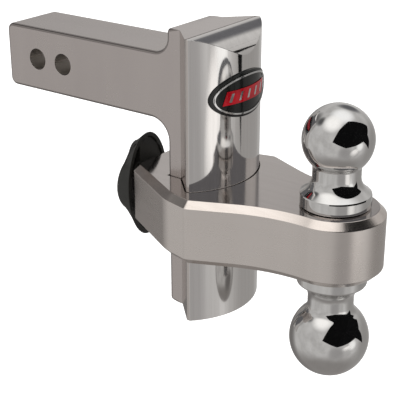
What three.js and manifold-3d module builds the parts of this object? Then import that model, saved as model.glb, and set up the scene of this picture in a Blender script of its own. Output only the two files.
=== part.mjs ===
// Adjustable trailer hitch with two stacked balls, in millimetres.
// Origin: centre of the shank's free end face. +X runs towards the balls, +Y to the left, +Z up.
import * as THREE from 'three';
import { mergeVertices } from 'three/addons/utils/BufferGeometryUtils.js';
import Module from 'manifold-3d';

const wasm = await Module();
wasm.setup();

// Gaps
const TOUCH_GAP = 0.3;
const SLOT_CLEARANCE = 0.6;
const RUNNING_CLEARANCE = 0.5;
const CUT_MARGIN = 1;

// Shank that slides into the receiver tube
const SHANK_SIZE = 50.8;
const SHANK_LENGTH = 163;
const SHANK_END_RADIUS = 6;
const PIN_HOLE_RADIUS = 8.5;
const FIRST_PIN_HOLE = 31.8;
const PIN_HOLE_SPACING = 27.1;

// Post, cut from the same billet as the shank
const POST_ABOVE_SHANK = 18.9;
const POST_BELOW_MOUNT = 5;
const POST_DEPTH = 52.3;
const WEB_DEPTH = 12;
const HEAD_HALF_WIDTH = 44;
const HEAD_SIDE = 2.7;
const HEAD_CORNER_RADIUS = 2;
const NOSE_BULGE = 19;
const ROOF_FLAT = 31;
const ROOF_RADIUS = 22;
const UPPER_FILLET = 12;
const LOWER_FILLET = 16.5;
const POST_EDGE_RADIUS = 3;

// Ball mount block that rides on the post
const MOUNT_BELOW_SHANK = 42.5;
const MOUNT_HEIGHT = 49.3;
const MOUNT_EDGE = 5;
const MOUNT_REAR_WALL = 38;
const REAR_HALF_WIDTH = 22.9;
const REAR_CORNER_RADIUS = 9;
const BEND_OFFSET = 20;
const BEND_WALL = 11.6;
const BEND_RADIUS = 40;
const SHOULDER_SETBACK = 10.3;
const SHOULDER_WALL = 17;
const SHOULDER_RADIUS = 6.5;
const TAPER_ANGLE = THREE.MathUtils.degToRad(24.3);
const TAPER_RADIUS = 120;
const NOSE_TO_BALL = 76.7;
const TIP_RADIUS = 36.3;

// Balls
const TOP_BALL_RADIUS = 25.4;
const TOP_BALL_HEIGHT = 48.4;
const TOP_NECK_RADIUS = 17.2;
const TOP_FLANGE_RADIUS = 25.4;
const TOP_FLANGE_HEIGHT = 9;
const BOTTOM_BALL_RADIUS = 29.37;
const BOTTOM_BALL_DEPTH = 55.7;
const BOTTOM_NECK_RADIUS = 16.8;
const BOTTOM_FLANGE_RADIUS = 25.5;
const BOTTOM_FLANGE_HEIGHT = 8.9;
const BALL_EDGE = 1;
const NECK_FILLET = 10;
const NECK_SLOPE = THREE.MathUtils.degToRad(38);
const STUD_RADIUS = 12.6;
const STUD_CLEARANCE = 0.4;
const STUD_THREAD_RADIUS = 9.5;
const STUD_THREAD_LENGTH = 32;
const DOWEL_RADIUS = 2.5;
const DOWEL_LENGTH = 12;
const DOWEL_OFFSET = 19;

// Locking pin, its spring and its cam
const LOCK_PITCH = 25.4;
const LOCK_STATIONS = 3;
const LOCK_TRAVEL = 10;
const PIN_RADIUS = 8;
const PIN_CHAMFER = 1.5;
const PIN_STEM_RADIUS = 4.5;
const PIN_SHOULDER_LENGTH = 3;
const SOCKET_DEPTH = 14;
const BUSH_WALL = 4.3;
const BUSH_LENGTH = 8.8;
const O_RING_RADIUS = 1;
const SPRING_WIRE_RADIUS = 0.8;
const SPRING_TURNS = 4;
const SPRING_LENGTH = 9.1;
const WASHER_THICKNESS = 1;
const SLEEVE_PLUG_LENGTH = 3.7;
const SLEEVE_WALL = 5.2;
const SLEEVE_STICKOUT = 16.5;
const CROSS_PIN_RADIUS = 2;
const CROSS_PIN_HALF_LENGTH = 14;
const CROSS_PIN_SETBACK = 12.5;

// Lobed knob
const KNOB_SETBACK = 3;
const KNOB_DEPTH = 14;
const KNOB_SIDE_RADIUS = 26.5;
const KNOB_EAR_RADIUS = 43.2;
const KNOB_EAR_SHARPNESS = 8;
const KNOB_WALL = 3;
const KNOB_EDGE = 5;
const KNOB_RIB = 3;
const KNOB_RIB_RECESS = 6;
const HUB_WALL = 5;
const THRUST_WASHER_WIDTH = 3.5;
const HUB_LENGTH = 12.3;
const SNAP_RING_WIDTH = 1.3;
const SNAP_RING_THICKNESS = 1;
const CAP_LIP = 1.3;
const CAP_OVERHANG = 2.5;
const CAP_THICKNESS = 2.5;
const CAP_EDGE = 1;

// Badge on the nose of the post
const BADGE_HALF_WIDTH = 33.5;
const BADGE_HALF_HEIGHT = 16.5;
const BADGE_THICKNESS = 1.2;
const BADGE_TRIM_THICKNESS = 0.6;
const BEZEL_INSET = 2;
const BEZEL_WIDTH = 1.6;
const BAND_HALF_WIDTH = 25;
const BAND_HALF_HEIGHT = 5;
const BAND_CORNER = 1.5;

// Facets
const ROUND_SIDES = 36;
const SMALL_ROUND_SIDES = 20;
const ARC_STEPS = 12;
const PIN_SIDES = 12;
const FILLET_STEPS = 6;
const BALL_STEPS = 14;
const CAM_STEPS = 12;
const COIL_STEPS = 16;
const WIRE_SIDES = 8;

// Places worked out from the sizes
const SHANK_HALF = SHANK_SIZE / 2;
const POST_REAR = SHANK_LENGTH;
const POST_NOSE = POST_REAR + POST_DEPTH;
const NOSE_RADIUS = (HEAD_HALF_WIDTH ** 2 + NOSE_BULGE ** 2) / (2 * NOSE_BULGE);
const NOSE_CENTRE = POST_NOSE - NOSE_RADIUS;
const FLARE_START = POST_REAR + WEB_DEPTH;
const FLARE_END = POST_NOSE - NOSE_BULGE - HEAD_SIDE;
const MOUNT_TOP = -SHANK_HALF - MOUNT_BELOW_SHANK;
const MOUNT_BOTTOM = MOUNT_TOP - MOUNT_HEIGHT;
const MOUNT_REAR = POST_REAR - MOUNT_REAR_WALL;
const POST_TOP = SHANK_HALF + POST_ABOVE_SHANK;
const POST_BOTTOM = MOUNT_BOTTOM - (LOCK_STATIONS - 1) * LOCK_PITCH - POST_BELOW_MOUNT;
const BALL_X = POST_NOSE + NOSE_TO_BALL;
const LOCK_Z = MOUNT_TOP - MOUNT_HEIGHT / 2;
const HOUSING_RADIUS = PIN_RADIUS + BUSH_WALL;
const PIN_SHOULDER_RADIUS = HOUSING_RADIUS - 2 * RUNNING_CLEARANCE;
const SPRING_COIL_RADIUS = PIN_SHOULDER_RADIUS - 2 * SPRING_WIRE_RADIUS;
const SLEEVE_BORE = PIN_STEM_RADIUS + TOUCH_GAP;
const SLEEVE_RADIUS = SLEEVE_BORE + SLEEVE_WALL;
const SPRING_SEAT = MOUNT_REAR + TOUCH_GAP + SLEEVE_PLUG_LENGTH + TOUCH_GAP;
const WASHER_X = SPRING_SEAT + SPRING_LENGTH + TOUCH_GAP;
const SHOULDER_X = WASHER_X + WASHER_THICKNESS + TOUCH_GAP;
const SLOT_REAR = POST_REAR - SLOT_CLEARANCE;
const PIN_TIP = SLOT_REAR - TOUCH_GAP;
const BUSH_END = SLOT_REAR - TOUCH_GAP;
const CROSS_PIN_X = MOUNT_REAR - CROSS_PIN_SETBACK;
const SLEEVE_END = MOUNT_REAR - SLEEVE_STICKOUT;
const KNOB_FRONT = MOUNT_REAR - KNOB_SETBACK;
const KNOB_REAR = KNOB_FRONT - KNOB_DEPTH;
const HUB_FRONT = MOUNT_REAR - 2 * TOUCH_GAP - WASHER_THICKNESS - TOUCH_GAP;
const HUB_REAR = HUB_FRONT - HUB_LENGTH;
const HUB_RADIUS = CROSS_PIN_HALF_LENGTH + HUB_WALL;
const KNOB_BOSS_RADIUS = HUB_RADIUS + TOUCH_GAP + KNOB_WALL;
const SNAP_RING_RADIUS = SLEEVE_RADIUS + TOUCH_GAP + SNAP_RING_WIDTH;
const KNOB_EYE_RADIUS = SNAP_RING_RADIUS + CAP_LIP + 2 * TOUCH_GAP;

// Turns a three.js geometry into a solid that can be joined and cut.
function solid(geometry) {
  const bare = geometry.index ? geometry.toNonIndexed() : geometry.clone();
  bare.deleteAttribute('normal');
  bare.deleteAttribute('uv');
  const merged = mergeVertices(bare, 1e-4);
  const mesh = new wasm.Mesh({
    numProp: 3,
    vertProperties: new Float32Array(merged.attributes.position.array),
    triVerts: new Uint32Array(merged.index.array),
  });
  mesh.merge();
  return new wasm.Manifold(mesh);
}

function geometryOf(body) {
  const mesh = body.getMesh();
  const geometry = new THREE.BufferGeometry();
  geometry.setAttribute('position', new THREE.BufferAttribute(new Float32Array(mesh.vertProperties), 3));
  geometry.setIndex(new THREE.BufferAttribute(new Uint32Array(mesh.triVerts), 1));
  geometry.computeVertexNormals();
  return geometry;
}

// A closed outline through corners [x, y, radius]; a corner with a radius becomes a tangent arc.
function outline(corners) {
  const shape = new THREE.Shape();
  corners.forEach(([x, y, radius = 0], index) => {
    const corner = new THREE.Vector2(x, y);
    const before = new THREE.Vector2(...corners.at(index - 1));
    const after = new THREE.Vector2(...corners[(index + 1) % corners.length]);
    const back = before.sub(corner).normalize();
    const ahead = after.sub(corner).normalize();
    const half = Math.acos(THREE.MathUtils.clamp(back.dot(ahead), -1, 1)) / 2;
    const reach = radius / Math.tan(half);
    const start = corner.clone().addScaledVector(back, reach);
    if (index === 0) shape.moveTo(start.x, start.y);
    else shape.lineTo(start.x, start.y);
    if (radius > 0) {
      const middle = back.clone().add(ahead).normalize();
      const centre = corner.clone().addScaledVector(middle, radius / Math.sin(half));
      const end = corner.clone().addScaledVector(ahead, reach);
      const first = start.sub(centre).angle();
      const last = end.sub(centre).angle();
      shape.absarc(centre.x, centre.y, radius, first, last, back.cross(ahead) > 0);
    }
  });
  shape.closePath();
  return shape;
}

function extruded(shape, depth, options = {}) {
  const plain = { depth, bevelEnabled: false, curveSegments: FILLET_STEPS };
  return new THREE.ExtrudeGeometry(shape, { ...plain, ...options });
}

// Outline in X and Y, raised from z = bottom.
function raised(shape, bottom, depth, options) {
  return solid(extruded(shape, depth, options).translate(0, 0, bottom));
}

// Outline in X and Z, of the stated depth, centred on Y = 0.
function across(shape, depth, options) {
  return solid(extruded(shape, depth, options).rotateX(Math.PI / 2).translate(0, depth / 2, 0));
}

// Outline in Y and Z, from x = rear towards +X.
const TO_X = new THREE.Matrix4().makeBasis(
  new THREE.Vector3(0, 1, 0),
  new THREE.Vector3(0, 0, 1),
  new THREE.Vector3(1, 0, 0),
);
function along(shape, rear, depth, options) {
  return solid(extruded(shape, depth, options).applyMatrix4(TO_X).translate(rear, 0, 0));
}

// A turned piece about Z; the profile lists [radius, height] upwards, outside first.
function turned(profile, sides = ROUND_SIDES) {
  const points = profile.map(([radius, height]) => new THREE.Vector2(radius, height));
  return new THREE.LatheGeometry(points, sides).rotateX(Math.PI / 2);
}

function turnedAlongZ(profile, x, z, sides) {
  return solid(turned(profile, sides).translate(x, 0, z));
}

function turnedAlongX(profile, sides) {
  return solid(turned(profile, sides).rotateY(Math.PI / 2).translate(0, 0, LOCK_Z));
}

function rodX(radius, from, to, sides = SMALL_ROUND_SIDES) {
  return turnedAlongX([[0, from], [radius, from], [radius, to], [0, to]], sides);
}

function ringX(outer, inner, from, to, sides = SMALL_ROUND_SIDES) {
  return turnedAlongX([[inner, from], [outer, from], [outer, to], [inner, to], [inner, from]], sides);
}

function rodZ(radius, x, from, to, sides = SMALL_ROUND_SIDES) {
  return turnedAlongZ([[0, from], [radius, from], [radius, to], [0, to]], x, 0, sides);
}

function rodY(radius, x, z, halfLength, sides) {
  const rod = new THREE.CylinderGeometry(radius, radius, 2 * halfLength, sides);
  return solid(rod.translate(x, 0, z));
}

// Plan of the post, grown by a clearance on every side; rear is where its rear face stands.
function postCorners(grow, rear) {
  const side = SHANK_HALF + grow;
  const edge = HEAD_HALF_WIDTH + grow;
  const flare = new THREE.Vector2(FLARE_END - FLARE_START, HEAD_HALF_WIDTH - SHANK_HALF);
  const flareShift = grow * Math.tan(flare.angle() / 2);
  const flareStart = FLARE_START - flareShift;
  const flareEnd = FLARE_END - flareShift;
  const radius = NOSE_RADIUS + grow;
  const spread = Math.asin(edge / radius);
  const nose = [];
  for (let step = 0; step <= 2 * ARC_STEPS; step += 1) {
    const angle = spread * (step / ARC_STEPS - 1);
    nose.push([NOSE_CENTRE + radius * Math.cos(angle), radius * Math.sin(angle)]);
  }
  nose[0].push(HEAD_CORNER_RADIUS);
  nose.at(-1).push(HEAD_CORNER_RADIUS);
  return [
    [rear, -side],
    [flareStart, -side],
    [flareEnd, -edge, HEAD_CORNER_RADIUS],
    ...nose,
    [flareEnd, edge, HEAD_CORNER_RADIUS],
    [flareStart, side],
    [rear, side],
  ];
}

function shankPost() {
  const height = POST_TOP - POST_BOTTOM;
  const plan = raised(outline(postCorners(0, 0)), POST_BOTTOM - CUT_MARGIN, height + 2 * CUT_MARGIN);
  const roofEnd = POST_REAR + ROOF_FLAT + ROOF_RADIUS;
  const side = across(outline([
    [0, -SHANK_HALF, SHANK_END_RADIUS],
    [POST_REAR, -SHANK_HALF, LOWER_FILLET],
    [POST_REAR, POST_BOTTOM, POST_EDGE_RADIUS],
    [roofEnd, POST_BOTTOM],
    [roofEnd, POST_TOP, ROOF_RADIUS],
    [POST_REAR, POST_TOP, POST_EDGE_RADIUS / 2],
    [POST_REAR, SHANK_HALF, UPPER_FILLET],
    [0, SHANK_HALF, SHANK_END_RADIUS],
  ]), 2 * (HEAD_HALF_WIDTH + CUT_MARGIN));
  let billet = plan.intersect(side);
  for (const x of [FIRST_PIN_HOLE, FIRST_PIN_HOLE + PIN_HOLE_SPACING]) {
    billet = billet.subtract(rodY(PIN_HOLE_RADIUS, x, 0, SHANK_SIZE, ROUND_SIDES));
  }
  for (let station = 0; station < LOCK_STATIONS; station += 1) {
    const socket = rodX(PIN_RADIUS + RUNNING_CLEARANCE, POST_REAR - CUT_MARGIN, POST_REAR + SOCKET_DEPTH);
    billet = billet.subtract(socket.translate([0, 0, -station * LOCK_PITCH]));
  }
  return billet;
}

// Plan of the mount block: straight rear wall, bent flanks, a shoulder and a concave taper to a round tip.
function mountOutline() {
  const shoulder = new THREE.Vector2(POST_NOSE - SHOULDER_SETBACK, HEAD_HALF_WIDTH + SHOULDER_WALL);
  const slope = new THREE.Vector2(Math.cos(TAPER_ANGLE), -Math.sin(TAPER_ANGLE));
  const outward = new THREE.Vector2(-slope.y, slope.x);
  const tip = new THREE.Vector2(BALL_X, 0);
  const depth = shoulder.clone().sub(tip).dot(outward);
  const reach = Math.sqrt((TAPER_RADIUS + TIP_RADIUS) ** 2 - (TAPER_RADIUS + depth) ** 2);
  const sweep = tip.clone().addScaledVector(outward, TAPER_RADIUS + depth).addScaledVector(slope, -reach);
  const first = outward.clone().negate().angle();
  const last = tip.clone().sub(sweep).angle();
  const taper = [];
  for (let step = 0; step <= ARC_STEPS; step += 1) {
    const angle = THREE.MathUtils.lerp(first, last, step / ARC_STEPS);
    taper.push([sweep.x + TAPER_RADIUS * Math.cos(angle), sweep.y + TAPER_RADIUS * Math.sin(angle)]);
  }
  const tipStart = last - Math.PI;
  const round = [];
  for (let step = 1; step < 2 * ARC_STEPS; step += 1) {
    const angle = tipStart * (1 - step / ARC_STEPS);
    round.push([BALL_X + TIP_RADIUS * Math.cos(angle), TIP_RADIUS * Math.sin(angle)]);
  }
  const half = [
    [MOUNT_REAR, REAR_HALF_WIDTH, REAR_CORNER_RADIUS],
    [POST_REAR + BEND_OFFSET, HEAD_HALF_WIDTH + BEND_WALL, BEND_RADIUS],
    [shoulder.x, shoulder.y, SHOULDER_RADIUS],
    ...taper,
  ];
  const mirrored = half.map(([x, y, radius]) => [x, -y, radius]).reverse();
  return outline([...half, ...round, ...mirrored]);
}

function ballMountBody() {
  let block = raised(mountOutline(), MOUNT_BOTTOM + MOUNT_EDGE, MOUNT_HEIGHT - 2 * MOUNT_EDGE, {
    bevelEnabled: true,
    bevelThickness: MOUNT_EDGE,
    bevelSize: MOUNT_EDGE,
    bevelOffset: -MOUNT_EDGE,
    bevelSegments: 1,
  });
  const slot = outline(postCorners(SLOT_CLEARANCE, SLOT_REAR));
  block = block.subtract(raised(slot, MOUNT_BOTTOM - CUT_MARGIN, MOUNT_HEIGHT + 2 * CUT_MARGIN));
  const boreRadius = STUD_RADIUS + STUD_CLEARANCE;
  const bore = rodZ(boreRadius, BALL_X, MOUNT_BOTTOM - CUT_MARGIN, MOUNT_TOP + CUT_MARGIN, ROUND_SIDES);
  block = block.subtract(bore);
  block = block.subtract(rodX(HOUSING_RADIUS, MOUNT_REAR - CUT_MARGIN, POST_REAR + CUT_MARGIN, ROUND_SIDES));
  for (const face of [MOUNT_TOP, MOUNT_BOTTOM]) {
    block = block.subtract(dowelHole(face));
  }
  return block;
}

function dowelHole(face) {
  const reach = DOWEL_LENGTH / 2 + TOUCH_GAP;
  return rodZ(DOWEL_RADIUS + TOUCH_GAP, BALL_X - DOWEL_OFFSET, face - reach, face + reach, PIN_SIDES);
}

function dowel(face) {
  const reach = DOWEL_LENGTH / 2;
  return rodZ(DOWEL_RADIUS, BALL_X - DOWEL_OFFSET, face - reach, face + reach, PIN_SIDES);
}

// A sphere's outline as [radius, height], from where it leaves the neck up to the pole.
function ballArc(radius, neck, centre) {
  const neckAngle = Math.PI - Math.asin(neck / radius);
  const points = [];
  for (let step = 0; step < BALL_STEPS; step += 1) {
    const angle = neckAngle * (1 - step / BALL_STEPS);
    points.push([radius * Math.sin(angle), centre + radius * Math.cos(angle)]);
  }
  points.push([0, centre + radius]);
  return points;
}

// Flare from the flange up into the neck: a straight cone that ends in a concave fillet.
function neckFlare(flange, neck, flangeTop) {
  const filletRise = NECK_FILLET * Math.sin(NECK_SLOPE);
  const filletReach = NECK_FILLET * (1 - Math.cos(NECK_SLOPE));
  const coneFoot = flange - BALL_EDGE / 2;
  const coneRise = (coneFoot - neck - filletReach) / Math.tan(NECK_SLOPE);
  const points = [[flange, flangeTop - BALL_EDGE], [coneFoot, flangeTop]];
  for (let step = 0; step <= 4; step += 1) {
    const angle = NECK_SLOPE * (1 - step / 4);
    const radius = neck + NECK_FILLET * (1 - Math.cos(angle));
    points.push([radius, flangeTop + coneRise + filletRise - NECK_FILLET * Math.sin(angle)]);
  }
  return points;
}

function topBall() {
  const seat = MOUNT_TOP + TOUCH_GAP;
  const centre = MOUNT_TOP + TOP_BALL_HEIGHT;
  const studFoot = MOUNT_BOTTOM - TOUCH_GAP;
  const profile = [
    [0, studFoot - STUD_THREAD_LENGTH],
    [STUD_THREAD_RADIUS, studFoot - STUD_THREAD_LENGTH],
    [STUD_THREAD_RADIUS, studFoot + BALL_EDGE],
    [STUD_RADIUS, studFoot + BALL_EDGE],
    [STUD_RADIUS, seat],
    [TOP_FLANGE_RADIUS - BALL_EDGE, seat],
    [TOP_FLANGE_RADIUS, seat + BALL_EDGE],
    ...neckFlare(TOP_FLANGE_RADIUS, TOP_NECK_RADIUS, seat + TOP_FLANGE_HEIGHT),
    ...ballArc(TOP_BALL_RADIUS, TOP_NECK_RADIUS, centre),
  ];
  return turnedAlongZ(profile, BALL_X, 0).subtract(dowelHole(MOUNT_TOP));
}

// The lower ball is turned upside down and screwed onto the stud.
function bottomBall() {
  const seat = MOUNT_BOTTOM - TOUCH_GAP;
  const holeEnd = STUD_THREAD_LENGTH + TOUCH_GAP;
  const thread = STUD_THREAD_RADIUS + TOUCH_GAP;
  const centre = BOTTOM_BALL_DEPTH - TOUCH_GAP;
  const profile = [
    [0, holeEnd],
    [thread, holeEnd],
    [thread, 0],
    [BOTTOM_FLANGE_RADIUS - BALL_EDGE, 0],
    [BOTTOM_FLANGE_RADIUS, BALL_EDGE],
    ...neckFlare(BOTTOM_FLANGE_RADIUS, BOTTOM_NECK_RADIUS, BOTTOM_FLANGE_HEIGHT),
    ...ballArc(BOTTOM_BALL_RADIUS, BOTTOM_NECK_RADIUS, centre),
  ];
  const ball = solid(turned(profile).rotateX(Math.PI).translate(BALL_X, 0, seat));
  return ball.subtract(dowelHole(MOUNT_BOTTOM));
}

function lockingPin() {
  return turnedAlongX([
    [0, CROSS_PIN_X - CROSS_PIN_RADIUS - CUT_MARGIN],
    [PIN_STEM_RADIUS, CROSS_PIN_X - CROSS_PIN_RADIUS - CUT_MARGIN],
    [PIN_STEM_RADIUS, SHOULDER_X],
    [PIN_SHOULDER_RADIUS, SHOULDER_X],
    [PIN_SHOULDER_RADIUS, SHOULDER_X + PIN_SHOULDER_LENGTH],
    [PIN_RADIUS, SHOULDER_X + PIN_SHOULDER_LENGTH],
    [PIN_RADIUS, PIN_TIP - PIN_CHAMFER],
    [PIN_RADIUS - PIN_CHAMFER, PIN_TIP],
    [0, PIN_TIP],
  ]).subtract(crossRod(CROSS_PIN_RADIUS + TOUCH_GAP, 2 * PIN_RADIUS));
}

// A rod through the pin's stem, upright at rest.
function crossRod(radius, halfLength, x = CROSS_PIN_X, turn = 0) {
  const rod = new THREE.CylinderGeometry(radius, radius, 2 * halfLength, PIN_SIDES);
  return solid(rod.rotateX(Math.PI / 2 + turn).translate(x, 0, LOCK_Z));
}

function pinGuideBush() {
  const groove = BUSH_END - BUSH_LENGTH / 2;
  const bore = PIN_RADIUS + TOUCH_GAP;
  const half = O_RING_RADIUS + TOUCH_GAP;
  const outer = HOUSING_RADIUS - TOUCH_GAP;
  return turnedAlongX([
    [bore, BUSH_END - BUSH_LENGTH],
    [outer, BUSH_END - BUSH_LENGTH],
    [outer, BUSH_END],
    [bore, BUSH_END],
    [bore, groove + half],
    [bore + 2 * half, groove + half],
    [bore + 2 * half, groove - half],
    [bore, groove - half],
    [bore, BUSH_END - BUSH_LENGTH],
  ]);
}

function pinORing() {
  const centre = PIN_RADIUS + TOUCH_GAP + O_RING_RADIUS;
  const ring = new THREE.TorusGeometry(centre, O_RING_RADIUS, 8, SMALL_ROUND_SIDES);
  return solid(ring.rotateY(Math.PI / 2).translate(BUSH_END - BUSH_LENGTH / 2, 0, LOCK_Z));
}

class Helix extends THREE.Curve {
  constructor(radius, turns, from, to) {
    super();
    Object.assign(this, { radius, turns, from, to });
  }

  getPoint(t, target = new THREE.Vector3()) {
    const angle = 2 * Math.PI * this.turns * t;
    const x = THREE.MathUtils.lerp(this.from, this.to, t);
    return target.set(x, this.radius * Math.cos(angle), LOCK_Z + this.radius * Math.sin(angle));
  }
}

function pinSpring() {
  const from = SPRING_SEAT + SPRING_WIRE_RADIUS;
  const to = SPRING_SEAT + SPRING_LENGTH - SPRING_WIRE_RADIUS;
  const wire = new THREE.Shape().absarc(0, 0, SPRING_WIRE_RADIUS, 0, 2 * Math.PI);
  const path = new Helix(SPRING_COIL_RADIUS, SPRING_TURNS, from, to);
  const coil = { extrudePath: path, steps: COIL_STEPS * SPRING_TURNS, curveSegments: WIRE_SIDES / 2 };
  return solid(new THREE.ExtrudeGeometry(wire, coil));
}

function springWasher() {
  return ringX(PIN_SHOULDER_RADIUS, PIN_STEM_RADIUS + TOUCH_GAP, WASHER_X, WASHER_X + WASHER_THICKNESS);
}

// Threaded plug with a tube behind it; two helical slots in the tube lead the cross pin.
function camSleeve() {
  const plugRear = MOUNT_REAR + TOUCH_GAP;
  let sleeve = turnedAlongX([
    [SLEEVE_BORE, SLEEVE_END],
    [SLEEVE_RADIUS, SLEEVE_END],
    [SLEEVE_RADIUS, plugRear],
    [HOUSING_RADIUS - TOUCH_GAP, plugRear],
    [HOUSING_RADIUS - TOUCH_GAP, plugRear + SLEEVE_PLUG_LENGTH],
    [SLEEVE_BORE, plugRear + SLEEVE_PLUG_LENGTH],
    [SLEEVE_BORE, SLEEVE_END],
  ]);
  for (let step = 0; step <= CAM_STEPS; step += 1) {
    const share = step / CAM_STEPS;
    const x = CROSS_PIN_X + LOCK_TRAVEL * share;
    const cut = crossRod(CROSS_PIN_RADIUS + RUNNING_CLEARANCE, CROSS_PIN_HALF_LENGTH, x, share * Math.PI / 2);
    sleeve = sleeve.subtract(cut);
  }
  return sleeve;
}

function crossPin() {
  return crossRod(CROSS_PIN_RADIUS, CROSS_PIN_HALF_LENGTH);
}

function hexagon(radius) {
  const corners = [];
  for (let corner = 0; corner < 6; corner += 1) {
    const angle = Math.PI / 2 + corner * Math.PI / 3;
    corners.push([radius * Math.cos(angle), radius * Math.sin(angle), 1]);
  }
  return outline(corners);
}

function knobHub() {
  const body = along(hexagon(HUB_RADIUS), HUB_REAR, HUB_LENGTH).translate([0, 0, LOCK_Z]);
  const bore = rodX(SLEEVE_RADIUS + RUNNING_CLEARANCE, HUB_REAR - CUT_MARGIN, HUB_FRONT + CUT_MARGIN);
  const keyWidth = 2 * (CROSS_PIN_RADIUS + TOUCH_GAP);
  const keyHeight = 2 * (CROSS_PIN_HALF_LENGTH + TOUCH_GAP);
  const key = new THREE.BoxGeometry(HUB_LENGTH + 2 * CUT_MARGIN, keyWidth, keyHeight);
  const keyway = solid(key.translate((HUB_FRONT + HUB_REAR) / 2, 0, LOCK_Z));
  return body.subtract(bore).subtract(keyway);
}

// Outline of the knob in Y and Z: an oval body with an ear above and below, shrunk by inset.
function knobOutline(inset) {
  const points = [];
  const steps = 6 * ARC_STEPS;
  for (let step = 0; step < steps; step += 1) {
    const angle = 2 * Math.PI * step / steps;
    const ear = Math.abs(Math.sin(angle)) ** KNOB_EAR_SHARPNESS;
    const radius = KNOB_SIDE_RADIUS + (KNOB_EAR_RADIUS - KNOB_SIDE_RADIUS) * ear - inset;
    points.push(new THREE.Vector2(radius * Math.cos(angle), radius * Math.sin(angle)));
  }
  return new THREE.Shape(points);
}

function knobShell() {
  const lift = [0, 0, LOCK_Z];
  const outer = along(knobOutline(0), KNOB_REAR + KNOB_EDGE, KNOB_DEPTH, {
    bevelEnabled: true,
    bevelThickness: KNOB_EDGE,
    bevelSize: KNOB_EDGE,
    bevelOffset: -KNOB_EDGE,
    bevelSegments: 3,
  });
  const room = 4 * KNOB_EAR_RADIUS;
  const trim = new THREE.BoxGeometry(room, room, room).translate(KNOB_FRONT + room / 2, 0, 0);
  const hollow = along(knobOutline(KNOB_WALL), KNOB_REAR + KNOB_WALL, KNOB_DEPTH);
  const ribDepth = KNOB_DEPTH - KNOB_WALL - KNOB_RIB_RECESS;
  const ribHeight = 2 * (KNOB_EAR_RADIUS - KNOB_WALL / 2);
  const rib = new THREE.BoxGeometry(ribDepth + CUT_MARGIN, KNOB_RIB, ribHeight);
  rib.translate(KNOB_REAR + KNOB_WALL + (ribDepth - CUT_MARGIN) / 2, 0, 0);
  const boss = rodX(KNOB_BOSS_RADIUS, KNOB_REAR + KNOB_WALL / 2, HUB_FRONT - KNOB_RIB, ROUND_SIDES);
  const pocket = along(hexagon(HUB_RADIUS + TOUCH_GAP), HUB_REAR - TOUCH_GAP, KNOB_DEPTH);
  const eye = rodX(KNOB_EYE_RADIUS, KNOB_REAR - CUT_MARGIN, KNOB_FRONT);
  return outer.subtract(solid(trim)).subtract(hollow).add(solid(rib)).translate(lift)
    .add(boss).subtract(pocket.translate(lift)).subtract(eye);
}

function snapRing() {
  const rear = HUB_REAR - TOUCH_GAP - SNAP_RING_THICKNESS;
  return ringX(SNAP_RING_RADIUS, SLEEVE_RADIUS + TOUCH_GAP, rear, rear + SNAP_RING_THICKNESS);
}

// Rides between the hub and the mount block, outside the path of the cross pin.
function thrustWasher() {
  const front = MOUNT_REAR - TOUCH_GAP;
  const inner = CROSS_PIN_HALF_LENGTH + RUNNING_CLEARANCE;
  return ringX(inner + THRUST_WASHER_WIDTH, inner, front - WASHER_THICKNESS, front);
}

// Snap-in cap with a low dome, over the eye in the knob's rear wall.
function knobCap() {
  const face = KNOB_REAR - TOUCH_GAP;
  const plug = KNOB_EYE_RADIUS - TOUCH_GAP;
  const rim = KNOB_EYE_RADIUS + CAP_OVERHANG;
  const skirt = SNAP_RING_RADIUS + TOUCH_GAP;
  return turnedAlongX([
    [0, face - CAP_THICKNESS],
    [plug / 2, face - CAP_THICKNESS],
    [rim - CAP_EDGE, face - CAP_THICKNESS + CAP_EDGE],
    [rim, face],
    [plug, face],
    [plug, KNOB_REAR + KNOB_WALL / 2],
    [skirt, KNOB_REAR + KNOB_WALL / 2],
    [skirt, face],
    [0, face],
  ], ROUND_SIDES);
}

// An ellipse in Y and Z.
function ellipse(halfWidth, halfHeight) {
  return new THREE.Shape().absellipse(0, 0, halfWidth, halfHeight, 0, 2 * Math.PI);
}

// A thin plate bent round the nose, with an outline in Y and Z.
function noseSheet(shape, lift, thickness) {
  const inner = NOSE_RADIUS + lift;
  const height = 2 * BADGE_HALF_HEIGHT;
  const outer = inner + thickness;
  const profile = [[inner, -height], [outer, -height], [outer, height], [inner, height], [inner, -height]];
  const wall = turnedAlongZ(profile, NOSE_CENTRE, 0, 2 * ROUND_SIDES);
  return along(shape, POST_REAR, POST_DEPTH * 2).intersect(wall);
}

function badgePlate() {
  return noseSheet(ellipse(BADGE_HALF_WIDTH, BADGE_HALF_HEIGHT), TOUCH_GAP, BADGE_THICKNESS);
}

function badgeBezel() {
  const ring = ellipse(BADGE_HALF_WIDTH - BEZEL_INSET, BADGE_HALF_HEIGHT - BEZEL_INSET);
  const inset = BEZEL_INSET + BEZEL_WIDTH;
  ring.holes.push(ellipse(BADGE_HALF_WIDTH - inset, BADGE_HALF_HEIGHT - inset));
  return noseSheet(ring, 2 * TOUCH_GAP + BADGE_THICKNESS, BADGE_TRIM_THICKNESS);
}

function badgeBand() {
  const shape = outline([
    [-BAND_HALF_WIDTH, -BAND_HALF_HEIGHT, BAND_CORNER],
    [BAND_HALF_WIDTH, -BAND_HALF_HEIGHT, BAND_CORNER],
    [BAND_HALF_WIDTH, BAND_HALF_HEIGHT, BAND_CORNER],
    [-BAND_HALF_WIDTH, BAND_HALF_HEIGHT, BAND_CORNER],
  ]);
  return noseSheet(shape, 2 * TOUCH_GAP + BADGE_THICKNESS, BADGE_TRIM_THICKNESS);
}

function finish(color, roughness, metalness) {
  return { color, roughness, metalness };
}

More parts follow.
